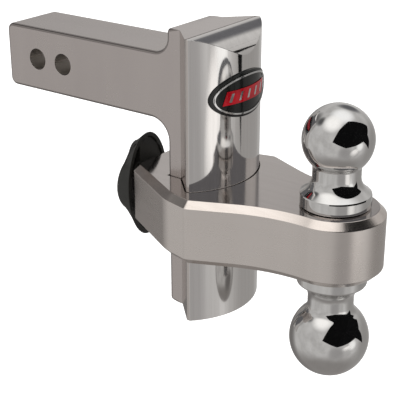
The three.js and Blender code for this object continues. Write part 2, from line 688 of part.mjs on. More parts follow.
const SATIN_ALUMINIUM = finish(0xa39b95, 0.35, 1);
const CHROME = finish(0xd8d9db, 0.06, 1);
const STEEL = finish(0x9a9a9c, 0.35, 1);
const SPRING_STEEL = finish(0x6f7072, 0.4, 1);
const BRONZE = finish(0xa07a45, 0.4, 1);
const BLACK_PLASTIC = finish(0x232320, 0.45, 0);
const RUBBER = finish(0x171717, 0.8, 0);
const NYLON = finish(0xd9d6cc, 0.5, 0);
const BLACK_ENAMEL = finish(0x111312, 0.2, 0);
const RED_ENAMEL = finish(0xb01020, 0.2, 0);

const PIECES = {
  shank_post: [shankPost, SATIN_ALUMINIUM],
  badge_plate: [badgePlate, BLACK_ENAMEL],
  badge_bezel: [badgeBezel, CHROME],
  badge_band: [badgeBand, RED_ENAMEL],
  ball_mount_body: [ballMountBody, SATIN_ALUMINIUM],
  top_ball: [topBall, CHROME],
  bottom_ball: [bottomBall, CHROME],
  upper_ball_dowel: [() => dowel(MOUNT_TOP), STEEL],
  lower_ball_dowel: [() => dowel(MOUNT_BOTTOM), STEEL],
  pin_guide_bush: [pinGuideBush, BRONZE],
  pin_o_ring: [pinORing, RUBBER],
  pin_spring: [pinSpring, SPRING_STEEL],
  cam_sleeve: [camSleeve, STEEL],
  locking_pin: [lockingPin, STEEL],
  spring_washer: [springWasher, STEEL],
  cross_pin: [crossPin, STEEL],
  knob_shell: [knobShell, BLACK_PLASTIC],
  knob_hub: [knobHub, STEEL],
  knob_snap_ring: [snapRing, SPRING_STEEL],
  knob_thrust_washer: [thrustWasher, NYLON],
  knob_cap: [knobCap, BLACK_PLASTIC],
};

const hitch = new THREE.Group();
for (const [name, [build, look]] of Object.entries(PIECES)) {
  const mesh = new THREE.Mesh(geometryOf(build()), new THREE.MeshStandardMaterial(look));
  mesh.name = name;
  hitch.add(mesh);
}

export default hitch;
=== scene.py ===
import math

import bmesh
import bpy
from mathutils import Matrix, Vector


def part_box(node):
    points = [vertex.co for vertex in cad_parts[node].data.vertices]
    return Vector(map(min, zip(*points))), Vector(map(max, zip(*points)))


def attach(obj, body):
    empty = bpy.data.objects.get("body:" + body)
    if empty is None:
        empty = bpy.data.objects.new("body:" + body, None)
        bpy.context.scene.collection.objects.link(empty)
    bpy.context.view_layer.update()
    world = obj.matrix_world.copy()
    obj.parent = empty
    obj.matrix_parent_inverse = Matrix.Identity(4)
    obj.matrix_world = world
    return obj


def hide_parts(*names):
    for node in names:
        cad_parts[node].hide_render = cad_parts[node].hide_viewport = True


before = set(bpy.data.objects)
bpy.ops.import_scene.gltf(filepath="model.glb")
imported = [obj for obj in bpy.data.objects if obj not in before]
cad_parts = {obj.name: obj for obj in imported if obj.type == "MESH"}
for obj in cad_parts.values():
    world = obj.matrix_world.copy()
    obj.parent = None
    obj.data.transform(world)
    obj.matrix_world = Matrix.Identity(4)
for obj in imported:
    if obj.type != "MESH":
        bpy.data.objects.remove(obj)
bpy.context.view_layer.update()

# Lengths are in metres. X runs from the shank's free end to the balls, Y to the left and Z up.
MM = 0.001
WELD = 0.001 * MM
TOUCH_GAP = 0.3 * MM
SLOT_CLEARANCE = 0.6 * MM
CUT_MARGIN = 1 * MM

# Shank and post, one billet
SHANK_HALF = 25.4 * MM
SHANK_LENGTH = 163 * MM
SHANK_END_RADIUS = 6 * MM
SHANK_EDGE = 2.2 * MM
PIN_HOLE_RADIUS = 8.5 * MM
FIRST_PIN_HOLE = 31.8 * MM
PIN_HOLE_SPACING = 27.1 * MM
WEB_DEPTH = 12 * MM
HEAD_SIDE = 2.7 * MM
HEAD_CORNER_RADIUS = 2 * MM
NOSE_BULGE = 19 * MM
NOSE_REACH = 0.2 * MM
ROOF_FLAT = 31 * MM
ROOF_RADIUS = 22 * MM
ROOF_GROOVE = 0.25 * MM
UPPER_FILLET = 12 * MM
LOWER_FILLET = 16.5 * MM
POST_EDGE_RADIUS = 3 * MM
POST_EDGE_BREAK = 0.2 * MM
LOCK_PITCH = 25.4 * MM
LOCK_STATIONS = 3
SOCKET_RADIUS = 8.5 * MM
SOCKET_DEPTH = 14 * MM

# Ball mount block
MOUNT_CHAMFER_WIDTH = 5 * MM
MOUNT_EDGE_BREAK = 0.35 * MM
REAR_HALF_WIDTH = 22.9 * MM
REAR_CORNER_RADIUS = 9 * MM
BEND_OFFSET = 20 * MM
BEND_WALL = 11.6 * MM
BEND_RADIUS = 40 * MM
SHOULDER_SETBACK = 10.3 * MM
SHOULDER_WALL = 17 * MM
SHOULDER_RADIUS = 6.5 * MM
TAPER_ANGLE = math.radians(24.3)
TAPER_RADIUS = 120 * MM
TIP_RADIUS = 36.3 * MM
HOUSING_RADIUS = 12.3 * MM
STUD_BORE_RADIUS = 13 * MM

# Balls
BALL_EDGE_BREAK = 0.25 * MM
STUD_RADIUS = 12.6 * MM
STUD_THREAD_RADIUS = 9.5 * MM
STUD_THREAD_LENGTH = 32 * MM
TOP_BALL_RADIUS = 25.4 * MM
TOP_NECK_RADIUS = 17.2 * MM
TOP_FLANGE_RADIUS = 25.4 * MM
TOP_FLANGE_HEIGHT = 9 * MM
BOTTOM_BALL_RADIUS = 29.37 * MM
BOTTOM_NECK_RADIUS = 16.8 * MM
BOTTOM_FLANGE_RADIUS = 25.5 * MM
BOTTOM_FLANGE_HEIGHT = 8.9 * MM
FLANGE_EDGE = 1 * MM
FLANGE_SHOULDER = 1.2 * MM
NECK_FILLET = 12 * MM
NECK_SLOPE = math.radians(52)
TOP_BALL_FILLET = 2.5 * MM
BOTTOM_BALL_FILLET = 9 * MM
DOWEL_RADIUS = 2.5 * MM
DOWEL_OFFSET = 19 * MM
DOWEL_REACH = 6 * MM

# Knob
KNOB_SIDE_RADIUS = 24.4 * MM
KNOB_EAR_RADIUS = 43.2 * MM
KNOB_REAR_EAR_RADIUS = 34.5 * MM
KNOB_EAR_SHARPNESS = 18
KNOB_WALL = 3 * MM
KNOB_EDGE = 4 * MM
KNOB_EDGE_BREAK = 0.6 * MM
KNOB_RIB = 3 * MM
KNOB_RIB_RECESS = 1 * MM
KNOB_POCKET_EDGE = 9 * MM
KNOB_BOSS_RADIUS = 22.3 * MM
KNOB_EYE_RADIUS = 13.5 * MM
HUB_RADIUS = 19 * MM
HUB_CORNER = 1 * MM
CAP_SKIRT_THICKNESS = 1.2 * MM
CAP_EDGE_BREAK = 0.2 * MM

# Badge
BADGE_HALF_WIDTH = 33.5 * MM
BADGE_HALF_HEIGHT = 16.5 * MM
BADGE_THICKNESS = 1.2 * MM
BADGE_TRIM_THICKNESS = 0.6 * MM
BADGE_EDGE_BREAK = 0.15 * MM
BEZEL_INSET = 2 * MM
BEZEL_WIDTH = 1.3 * MM
BAND_HALF_WIDTH = 23 * MM
BAND_HALF_HEIGHT = 5 * MM
BAND_SLANT = math.radians(20)
BAND_EDGE_BREAK = 0.1 * MM
BAR_COUNT = 5
BAR_WIDTH = 2.2 * MM
BAR_PITCH = 8.8 * MM
BAR_HALF_HEIGHT = 3.1 * MM
BAR_THICKNESS = 0.2 * MM
SHEET_SPAN = math.radians(120)
SHEET_STEPS = 160

# Places, from the frame
post_low, post_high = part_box("shank_post")
mount_low, mount_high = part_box("ball_mount_body")
top_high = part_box("top_ball")[1]
bottom_low, bottom_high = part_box("bottom_ball")
knob_low, knob_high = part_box("knob_shell")
cap_low, cap_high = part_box("knob_cap")
hub_low, hub_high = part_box("knob_hub")
HEAD_HALF_WIDTH = post_high.y
POST_REAR = SHANK_LENGTH
NOSE_RADIUS = (HEAD_HALF_WIDTH ** 2 + NOSE_BULGE ** 2) / (2 * NOSE_BULGE)
NOSE_CENTRE = post_high.x - NOSE_RADIUS
BALL_X = (bottom_low.x + bottom_high.x) / 2
LOCK_Z = (knob_low.z + knob_high.z) / 2


# Solids

def box_solid(low, high):
    bm = bmesh.new()
    bmesh.ops.create_cube(bm, size=1)
    bmesh.ops.scale(bm, vec=[high[i] - low[i] for i in range(3)], verts=bm.verts)
    bmesh.ops.translate(bm, vec=[(high[i] + low[i]) / 2 for i in range(3)], verts=bm.verts)
    return bm


def rod(radius, start, end, axis, centre, sides=96):
    """A round bar along an axis, "X", "Y" or "Z", from start to end, centred on a point."""
    bm = bmesh.new()
    bmesh.ops.create_cone(
        bm, cap_ends=True, segments=sides, radius1=radius, radius2=radius, depth=end - start)
    turns = {
        "X": Matrix.Rotation(math.pi / 2, 3, "Y"),
        "Y": Matrix.Rotation(math.pi / 2, 3, "X"),
        "Z": Matrix.Identity(3),
    }
    bmesh.ops.rotate(bm, matrix=turns[axis], verts=bm.verts)
    middle = Vector(centre)
    middle["XYZ".index(axis)] = (start + end) / 2
    bmesh.ops.translate(bm, vec=middle, verts=bm.verts)
    return bm


class Outline:
    """A flat outline drawn in X and Y as a chain of straight lines and arcs."""

    def __init__(self, x, y):
        self.bm = bmesh.new()
        self.first = self.last = self.bm.verts.new((x, y, 0))
        self.corners = []

    def line(self, x, y, radius=0, steps=8):
        """A straight line to a corner, which closed() rounds if it has a radius."""
        vert = self.bm.verts.new((x, y, 0))
        self.bm.edges.new((self.last, vert))
        self.last = vert
        if radius:
            self.corners.append((vert, radius, steps))
        return self

    def arc(self, x, y, angle, steps):
        """An arc about a centre, anticlockwise where the angle is positive."""
        spun = bmesh.ops.spin(
            self.bm, geom=[self.last], cent=(x, y, 0), axis=(0, 0, 1), angle=angle, steps=steps)
        self.last = next(v for v in spun["geom_last"] if isinstance(v, bmesh.types.BMVert))
        return self

    def closed(self):
        """Joins the ends, rounds the corners that have a radius, and fills the outline."""
        if (self.first.co - self.last.co).length > WELD:
            self.bm.edges.new((self.last, self.first))
        bmesh.ops.remove_doubles(self.bm, verts=self.bm.verts, dist=WELD)
        bmesh.ops.contextual_create(self.bm, geom=self.bm.edges[:])
        for vert, radius, steps in self.corners:
            sides = [edge.other_vert(vert).co - vert.co for edge in vert.link_edges]
            reach = radius / math.tan(sides[0].angle(sides[1]) / 2)
            bmesh.ops.bevel(
                self.bm, geom=[vert], offset=reach, offset_type="OFFSET", segments=steps,
                profile=0.5, affect="VERTICES", material=-1)
        bmesh.ops.recalc_face_normals(self.bm, faces=self.bm.faces)
        return self.bm


def raise_outline(bm, low, high):
    """Turns a flat outline into a prism from z = low to z = high."""
    bmesh.ops.translate(bm, vec=(0, 0, low), verts=bm.verts)
    raised = bmesh.ops.extrude_face_region(bm, geom=bm.faces[:], use_keep_orig=True)
    top = [item for item in raised["geom"] if isinstance(item, bmesh.types.BMVert)]
    bmesh.ops.translate(bm, vec=(0, 0, high - low), verts=top)
    bmesh.ops.recalc_face_normals(bm, faces=bm.faces)
    return bm


def turn_round_z(bm, x, steps=128):
    """Spins a half profile, drawn in X and Z from the axis, into a solid, and moves it to x."""
    bmesh.ops.spin(
        bm, geom=bm.verts[:] + bm.edges[:], cent=(0, 0, 0), axis=(0, 0, 1),
        angle=2 * math.pi, steps=steps, use_merge=True)
    bmesh.ops.remove_doubles(bm, verts=bm.verts, dist=WELD)
    bmesh.ops.recalc_face_normals(bm, faces=bm.faces)
    bmesh.ops.translate(bm, vec=(x, 0, 0), verts=bm.verts)
    return bm


def stand_up(bm, matrix):
    """Turns a prism raised from the XY plane to another plane, faces outwards."""
    bmesh.ops.transform(bm, matrix=matrix, verts=bm.verts)
    bmesh.ops.recalc_face_normals(bm, faces=bm.faces)
    return bm


XY_TO_XZ = Matrix(((1, 0, 0, 0), (0, 0, -1, 0), (0, 1, 0, 0), (0, 0, 0, 1)))
XY_TO_YZ = Matrix(((0, 0, 1, 0), (1, 0, 0, 0), (0, 1, 0, 0), (0, 0, 0, 1)))


def piece(name, bm):
    """Makes an object of a finished bmesh."""
    mesh = bpy.data.meshes.new(name)
    bm.to_mesh(mesh)
    bm.free()
    made = bpy.data.objects.new(name, mesh)
    bpy.context.scene.collection.objects.link(made)
    return made


def combine(target, tool_bm, operation):
    """Joins a solid to the target, cuts it out, or keeps what they share."""
    tool = piece("tool", tool_bm)
    modifier = target.modifiers.new("shape", "BOOLEAN")
    modifier.operation = operation
    modifier.solver = "EXACT"
    modifier.object = tool
    depsgraph = bpy.context.evaluated_depsgraph_get()
    mesh = bpy.data.meshes.new_from_object(target.evaluated_get(depsgraph))
    target.modifiers.clear()
    mesh.name = target.data.name
    target.data = mesh
    bpy.data.objects.remove(tool)
    return target


def shade(made, smooth_angle, edge, edge_angle, edge_steps):
    """Smooth shading with sharp edges past an angle, and a small live bevel on the real edges.

    Both angles are in degrees. An edge of 0 leaves the bevel out.
    """
    made.data.shade_smooth()
    made.data.set_sharp_from_angle(angle=math.radians(smooth_angle))
    if edge:
        bevel = made.modifiers.new("edges", "BEVEL")
        bevel.width = edge
        bevel.segments = edge_steps
        bevel.limit_method = "ANGLE"
        bevel.angle_limit = math.radians(edge_angle)
        bevel.use_clamp_overlap = False
        bevel.harden_normals = True
    return made


def place(made, body, slot, *nodes):
    """Puts a piece on its body in the place of its frame nodes, which it hides; slot is not used."""
    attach(made, body)
    if nodes:
        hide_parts(*nodes)
    return made


def paint(made, finishes, choose):
    """Gives each face one of the finishes, as choose says for that face."""
    for finish in finishes:
        made.data.materials.append(finish)
    for face in made.data.polygons:
        face.material_index = finishes.index(choose(face))


# Shader groups

def node_group(name, inputs, outputs):
    group = bpy.data.node_groups.new(name, "ShaderNodeTree")
    for label, kind, value in inputs:
        socket = group.interface.new_socket(label, in_out="INPUT", socket_type=kind)
        if value is not None:
            socket.default_value = value
    for label, kind in outputs:
        group.interface.new_socket(label, in_out="OUTPUT", socket_type=kind)
    return group, group.nodes.new("NodeGroupInput"), group.nodes.new("NodeGroupOutput")


def link(tree, source, target):
    tree.links.new(source, target)


def math_node(tree, operation, first, second, clamp=False):
    node = tree.nodes.new("ShaderNodeMath")
    node.operation = operation
    node.use_clamp = clamp
    for socket, value in zip(node.inputs, (first, second)):
        if isinstance(value, (int, float)):
            socket.default_value = value
        else:
            link(tree, value, socket)
    return node.outputs[0]


def noise_node(tree, vector, scale, detail, roughness):
    node = tree.nodes.new("ShaderNodeTexNoise")
    node.inputs["Scale"].default_value = scale
    node.inputs["Detail"].default_value = detail
    node.inputs["Roughness"].default_value = roughness
    link(tree, vector, node.inputs["Vector"])
    return node.outputs["Fac"]


def range_node(tree, value, low, high, new_low, new_high):
    """Takes low to high over to new_low to new_high, and holds the value at its ends."""
    node = tree.nodes.new("ShaderNodeMapRange")
    link(tree, value, node.inputs["Value"])
    limits = {"From Min": low, "From Max": high, "To Min": new_low, "To Max": new_high}
    for label, number in limits.items():
        node.inputs[label].default_value = number
    return node.outputs["Result"]


def mix_colour(tree, share, first, second):
    """Mixes two colours, each a tuple or the output of another node."""
    node = tree.nodes.new("ShaderNodeMix")
    node.data_type = "RGBA"
    link(tree, share, node.inputs["Factor"])
    for label, colour in (("A", first), ("B", second)):
        if isinstance(colour, tuple):
            node.inputs[label].default_value = (*colour, 1)
        else:
            link(tree, colour, node.inputs[label])
    return node.outputs["Result"]


def brushed_lines():
    """Fine lines along one direction: stretch squeezes the pattern across the lines."""
    group, inside, outside = node_group(
        "brushed_lines",
        [("Vector", "NodeSocketVector", None), ("Stretch", "NodeSocketVector", (1, 1, 1))],
        [("Fine", "NodeSocketFloat"), ("Broad", "NodeSocketFloat")])
    stretched = group.nodes.new("ShaderNodeVectorMath")
    stretched.operation = "MULTIPLY"
    link(group, inside.outputs["Vector"], stretched.inputs[0])
    link(group, inside.outputs["Stretch"], stretched.inputs[1])
    link(group, noise_node(group, stretched.outputs[0], 1.0, 4.0, 0.6), outside.inputs["Fine"])
    broad = noise_node(group, stretched.outputs[0], 0.16, 2.0, 0.5)
    link(group, broad, outside.inputs["Broad"])
    return group


def handling_marks():
    """Soft patches of handling and a few hairline scratches, both from 0 to 1."""
    group, inside, outside = node_group(
        "handling_marks", [("Vector", "NodeSocketVector", None)],
        [("Smudge", "NodeSocketFloat"), ("Scratch", "NodeSocketFloat")])
    smudge = range_node(group, noise_node(group, inside.outputs[0], 42, 4, 0.55), 0.45, 0.7, 0, 1)
    link(group, smudge, outside.inputs["Smudge"])
    warped = group.nodes.new("ShaderNodeMapping")
    warped.inputs["Rotation"].default_value = (0.7, 0.3, 1.1)
    warped.inputs["Scale"].default_value = (60, 1400, 900)
    link(group, inside.outputs[0], warped.inputs["Vector"])
    lines = range_node(group, noise_node(group, warped.outputs[0], 1.0, 1, 0.4), 0.72, 0.78, 0, 1)
    patches = range_node(group, noise_node(group, inside.outputs[0], 90, 2, 0.5), 0.52, 0.6, 0, 1)
    link(group, math_node(group, "MULTIPLY", lines, patches), outside.inputs["Scratch"])
    return group


def edge_wear():
    """1 on convex edges, broken up by noise, 0 elsewhere."""
    group, inside, outside = node_group(
        "edge_wear", [("Vector", "NodeSocketVector", None)], [("Wear", "NodeSocketFloat")])
    geometry = group.nodes.new("ShaderNodeNewGeometry")
    edges = range_node(group, geometry.outputs["Pointiness"], 0.52, 0.62, 0, 1)
    worn = range_node(group, noise_node(group, inside.outputs[0], 260, 3, 0.6), 0.4, 0.62, 0, 1)
    link(group, math_node(group, "MULTIPLY", edges, worn), outside.inputs["Wear"])
    return group


BRUSHED_LINES = brushed_lines()
HANDLING_MARKS = handling_marks()
EDGE_WEAR = edge_wear()
BROAD_SHARE = 0.6
LINE_SHARE = 0.6
SMUDGE_SHARE = 0.35
SCRATCH_SHARE = 0.5
LINE_DEPTH = 0.02 * MM
GRAIN_DEPTH = 0.05 * MM


def new_material(name):
    """A material with its tree, its shader and the object's own coordinates."""
    material = bpy.data.materials.new(name)
    material.use_nodes = True
    tree = material.node_tree
    shader = tree.nodes["Principled BSDF"]
    coordinates = tree.nodes.new("ShaderNodeTexCoord")
    return material, tree, shader, coordinates.outputs["Object"]


def place_group(tree, group, vector):
    node = tree.nodes.new("ShaderNodeGroup")
    node.node_tree = group
    link(tree, vector, node.inputs["Vector"])
    return node


def bump(tree, shader, height, strength, distance):
    node = tree.nodes.new("ShaderNodeBump")
    node.inputs["Strength"].default_value = strength
    node.inputs["Distance"].default_value = distance
    link(tree, height, node.inputs["Height"])
    link(tree, node.outputs["Normal"], shader.inputs["Normal"])


def metal(name, dark, light, smooth, rough, stretch, line_bump=0.0):
    """A metal with brushed lines: its colour and its roughness each run between two values."""
    material, tree, shader, vector = new_material(name)
    shader.inputs["Metallic"].default_value = 1
    lines = place_group(tree, BRUSHED_LINES, vector)
    lines.inputs["Stretch"].default_value = stretch
    marks = place_group(tree, HANDLING_MARKS, vector)
    fine = range_node(tree, lines.outputs["Fine"], 0.3, 0.7, 0, 1)
    broad = range_node(tree, lines.outputs["Broad"], 0.3, 0.7, 0, 1)
    grain = math_node(
        tree, "ADD", math_node(tree, "MULTIPLY", fine, 1 - BROAD_SHARE),
        math_node(tree, "MULTIPLY", broad, BROAD_SHARE))
    link(tree, mix_colour(tree, grain, dark, light), shader.inputs["Base Color"])
    marked = math_node(
        tree, "ADD", math_node(tree, "MULTIPLY", marks.outputs["Smudge"], SMUDGE_SHARE),
        math_node(tree, "MULTIPLY", marks.outputs["Scratch"], SCRATCH_SHARE))
    share = math_node(tree, "ADD", math_node(tree, "MULTIPLY", fine, LINE_SHARE), marked)
    link(tree, range_node(tree, share, 0, 1.2, smooth, rough), shader.inputs["Roughness"])
    if line_bump:
        bump(tree, shader, fine, line_bump, LINE_DEPTH)
    return material


def plastic(name, dark, light, smooth, rough, grain_scale, grain_bump):
    """Moulded plastic or rubber with a fine grain and rubbed edges."""
    material, tree, shader, vector = new_material(name)
    marks = place_group(tree, HANDLING_MARKS, vector)
    wear = place_group(tree, EDGE_WEAR, vector)
    smudge = math_node(tree, "MULTIPLY", marks.outputs["Smudge"], SMUDGE_SHARE)
    share = math_node(tree, "ADD", smudge, wear.outputs["Wear"], clamp=True)
    link(tree, mix_colour(tree, share, dark, light), shader.inputs["Base Color"])
    grain = noise_node(tree, vector, grain_scale, 2, 0.5)
    link(tree, range_node(tree, grain, 0.3, 0.7, smooth, rough), shader.inputs["Roughness"])
    bump(tree, shader, grain, grain_bump, GRAIN_DEPTH)
    return material


def enamel(name, dark, light, smooth, rough, metallic=0.0):
    """Glossy domed enamel with a slight flow in its colour."""
    material, tree, shader, vector = new_material(name)
    shader.inputs["Coat Weight"].default_value = 0.12
    shader.inputs["Specular IOR Level"].default_value = 0.3
    shader.inputs["Metallic"].default_value = metallic
    marks = place_group(tree, HANDLING_MARKS, vector)
    flow = range_node(tree, noise_node(tree, vector, 120, 3, 0.5), 0.35, 0.65, 0, 1)
    link(tree, mix_colour(tree, flow, dark, light), shader.inputs["Base Color"])
    link(tree, range_node(tree, marks.outputs["Smudge"], 0, 1, smooth, rough), shader.inputs["Roughness"])
    return material


# Stretches: high numbers run across the lines, low numbers along them
ALONG_X = (40, 1800, 1800)
LEVEL = (120, 120, 2600)
EVEN = (900, 900, 900)
EVEN_FINE = (1800, 1800, 1800)

SHANK_SATIN = metal(
    "shank_satin", (0.51, 0.465, 0.45), (0.55, 0.505, 0.485), 0.24, 0.30, (60, 240, 14))
# The shank's rounded side edges: the same aluminium in a darker colour, painted shade that stands in for
# the dark reflection along these edges.
SHANK_CORNER_PAINTED_SHADE = metal(
    "shank_corner_painted_shade", (0.26, 0.235, 0.225), (0.32, 0.29, 0.28), 0.16, 0.22, ALONG_X)
POST_DRAWN = metal(
    "post_drawn", (0.47, 0.435, 0.41), (0.62, 0.58, 0.555), 0.13, 0.24, (1100, 1100, 12), 0.03)
POST_POLISHED = metal(
    "post_polished", (0.72, 0.70, 0.685), (0.82, 0.80, 0.785), 0.05, 0.13, (1500, 1500, 14), 0.015)
POST_TOP = metal(
    "post_top", (0.59, 0.545, 0.53), (0.62, 0.575, 0.555), 0.20, 0.27, (14, 300, 300))
MOUNT_SATIN = metal(
    "mount_satin", (0.63, 0.585, 0.555), (0.66, 0.615, 0.585), 0.26, 0.31, (30, 30, 160))
MOUNT_POLISHED = metal(
    "mount_polished", (0.55, 0.51, 0.49), (0.59, 0.55, 0.53), 0.10, 0.16, ALONG_X, 0.006)
MOUNT_CHAMFER = metal(
    "mount_chamfer", (0.66, 0.60, 0.56), (0.74, 0.68, 0.64), 0.14, 0.22, ALONG_X, 0.01)
BORED_ALUMINIUM = metal(
    "bored_aluminium", (0.62, 0.59, 0.56), (0.74, 0.71, 0.68), 0.35, 0.5, LEVEL, 0.05)
BALL_CHROME = metal(
    "ball_chrome", (0.64, 0.632, 0.622), (0.69, 0.684, 0.675), 0.03, 0.08, EVEN)
PIN_STEEL = metal(
    "pin_steel", (0.36, 0.36, 0.37), (0.52, 0.52, 0.53), 0.25, 0.4, EVEN_FINE, 0.1)
BUSH_BRONZE = metal(
    "bush_bronze", (0.38, 0.24, 0.10), (0.50, 0.33, 0.15), 0.28, 0.42, (1500, 1500, 1500), 0.1)
SPRING_STEEL = metal(
    "spring_steel", (0.22, 0.22, 0.23), (0.36, 0.36, 0.37), 0.25, 0.4, (1200, 1200, 1200), 0.1)
KNOB_PLASTIC = plastic(
    "knob_plastic", (0.016, 0.016, 0.014), (0.034, 0.034, 0.031), 0.38, 0.55, 1400, 0.25)
SEAL_RUBBER = plastic(
    "seal_rubber", (0.010, 0.010, 0.010), (0.02, 0.02, 0.02), 0.6, 0.8, 1200, 0.2)
WASHER_NYLON = plastic(
    "washer_nylon", (0.55, 0.53, 0.48), (0.68, 0.66, 0.61), 0.4, 0.55, 900, 0.15)
BADGE_BLACK = enamel("badge_black", (0.006, 0.007, 0.007), (0.012, 0.013, 0.012), 0.12, 0.22)
BADGE_SILVER = enamel("badge_silver", (0.62, 0.62, 0.62), (0.75, 0.75, 0.74), 0.10, 0.2, metallic=1.0)
BADGE_RED = enamel("badge_red", (0.42, 0.004, 0.012), (0.60, 0.008, 0.02), 0.10, 0.2)


# Shank and post

def post_plan(grow, rear):
    """Plan of the post, grown by a clearance; rear is where its rear face stands."""
    side = SHANK_HALF + grow
    edge = HEAD_HALF_WIDTH + grow
    start = POST_REAR + WEB_DEPTH
    end = post_high.x - NOSE_BULGE - HEAD_SIDE
    shift = grow * math.tan(math.atan2(edge - side, end - start) / 2)
    radius = NOSE_RADIUS + grow
    spread = math.asin(edge / radius)
    nose_edge = NOSE_CENTRE + radius * math.cos(spread)
    return (
        Outline(rear, side).line(rear, -side).line(start - shift, -side)
        .line(end - shift, -edge, HEAD_CORNER_RADIUS).line(nose_edge, -edge)
        .arc(NOSE_CENTRE, 0, 2 * spread, 72)
        .line(end - shift, edge, HEAD_CORNER_RADIUS).line(start - shift, side).closed())


def post_side():
    """Side view of shank and post, drawn in X and Z and as wide as the head."""
    roof_end = POST_REAR + ROOF_FLAT + ROOF_RADIUS
    bm = (
        Outline(roof_end, post_low.z).line(roof_end, post_high.z, ROOF_RADIUS, 40)
        .line(POST_REAR, post_high.z, POST_EDGE_RADIUS, 6)
        .line(POST_REAR, SHANK_HALF, UPPER_FILLET, 20)
        .line(0, SHANK_HALF, SHANK_END_RADIUS, 12).line(0, -SHANK_HALF, SHANK_END_RADIUS, 12)
        .line(POST_REAR, -SHANK_HALF, LOWER_FILLET, 24)
        .line(POST_REAR, post_low.z, POST_EDGE_RADIUS, 6).closed())
    width = HEAD_HALF_WIDTH + CUT_MARGIN
    return stand_up(raise_outline(bm, -width, width), XY_TO_XZ)


def post_face_finish(face):
    """Told by place and by the way a face looks: the satin shank is what is left over, and the shank's
    rounded side edges get a darker copy of it, which is painted shade.
    """
    centre, normal = face.center, face.normal
    # The rounded side edges of the shank get the darker copy of its aluminium: painted shade for their dark
    # reflection.
    on_side_edge = abs(centre.y) > SHANK_HALF - SHANK_EDGE and centre.x < POST_REAR + WEB_DEPTH
    if on_side_edge and 0.05 < abs(normal.y) < 0.99:
        return SHANK_CORNER_PAINTED_SHADE
    from_nose_centre = math.hypot(centre.x - NOSE_CENTRE, centre.y)
    on_nose = from_nose_centre > NOSE_RADIUS - NOSE_REACH and abs(normal.z) < 0.1
    on_roof = (
        centre.x > POST_REAR + ROOF_FLAT and centre.z > post_high.z - ROOF_RADIUS
        and 0.01 < normal.z < 0.999)
    if on_nose and normal.x > 0.5 or on_roof:
        return POST_POLISHED
    if normal.z > 0.9 and centre.z > SHANK_HALF + UPPER_FILLET:
        return POST_TOP
    if centre.x > POST_REAR - CUT_MARGIN and abs(normal.z) < 0.5:
        return POST_DRAWN
    in_pin_hole = (
        CUT_MARGIN < centre.x < SHANK_LENGTH / 2 and abs(centre.z) < PIN_HOLE_RADIUS
        and abs(centre.y) < SHANK_HALF - CUT_MARGIN and abs(normal.y) < 0.1)
    return BORED_ALUMINIUM if in_pin_hole else SHANK_SATIN


def round_side_edges(made):
    """Rounds the billet's edges along its two flat sides."""
    bm = bmesh.new()
    bm.from_mesh(made.data)
    bmesh.ops.remove_doubles(bm, verts=bm.verts, dist=WELD)
    flat_end = POST_REAR + WEB_DEPTH - CUT_MARGIN
    on_side = {
        vert for vert in bm.verts
        if abs(abs(vert.co.y) - SHANK_HALF) < 10 * WELD and vert.co.x < flat_end}
    edges = [
        edge for edge in bm.edges
        if on_side.issuperset(edge.verts) and len(edge.link_faces) == 2 and edge.calc_face_angle() > 1]
    bmesh.ops.bevel(
        bm, geom=edges, offset=SHANK_EDGE, offset_type="OFFSET", segments=5, profile=0.5,
        affect="EDGES", clamp_overlap=False, material=-1)
    bm.to_mesh(made.data)
    bm.free()


def make_post():
    plan = raise_outline(post_plan(0, 0), post_low.z - CUT_MARGIN, post_high.z + CUT_MARGIN)
    post = piece("shank_and_post", plan)
    combine(post, post_side(), "INTERSECT")
    round_side_edges(post)
    joint_x = POST_REAR + ROOF_FLAT
    groove_low = (joint_x - ROOF_GROOVE, -HEAD_HALF_WIDTH - CUT_MARGIN, post_high.z - ROOF_GROOVE)
    groove_high = (joint_x + ROOF_GROOVE, HEAD_HALF_WIDTH + CUT_MARGIN, post_high.z + CUT_MARGIN)
    combine(post, box_solid(groove_low, groove_high), "DIFFERENCE")
    for x in (FIRST_PIN_HOLE, FIRST_PIN_HOLE + PIN_HOLE_SPACING):
        hole = rod(PIN_HOLE_RADIUS, -2 * SHANK_HALF, 2 * SHANK_HALF, "Y", (x, 0, 0), 72)
        combine(post, hole, "DIFFERENCE")
    for station in range(LOCK_STATIONS):
        z = LOCK_Z - station * LOCK_PITCH
        socket = rod(SOCKET_RADIUS, POST_REAR - CUT_MARGIN, POST_REAR + SOCKET_DEPTH, "X", (0, 0, z), 64)
        combine(post, socket, "DIFFERENCE")
    finishes = [SHANK_SATIN, POST_DRAWN, POST_POLISHED, POST_TOP, BORED_ALUMINIUM, SHANK_CORNER_PAINTED_SHADE]
    paint(post, finishes, post_face_finish)
    shade(post, 8, POST_EDGE_BREAK, 24, 3)
    return place(post, "receiver_shank", "billet_aluminium", "shank_post")


# Ball mount block

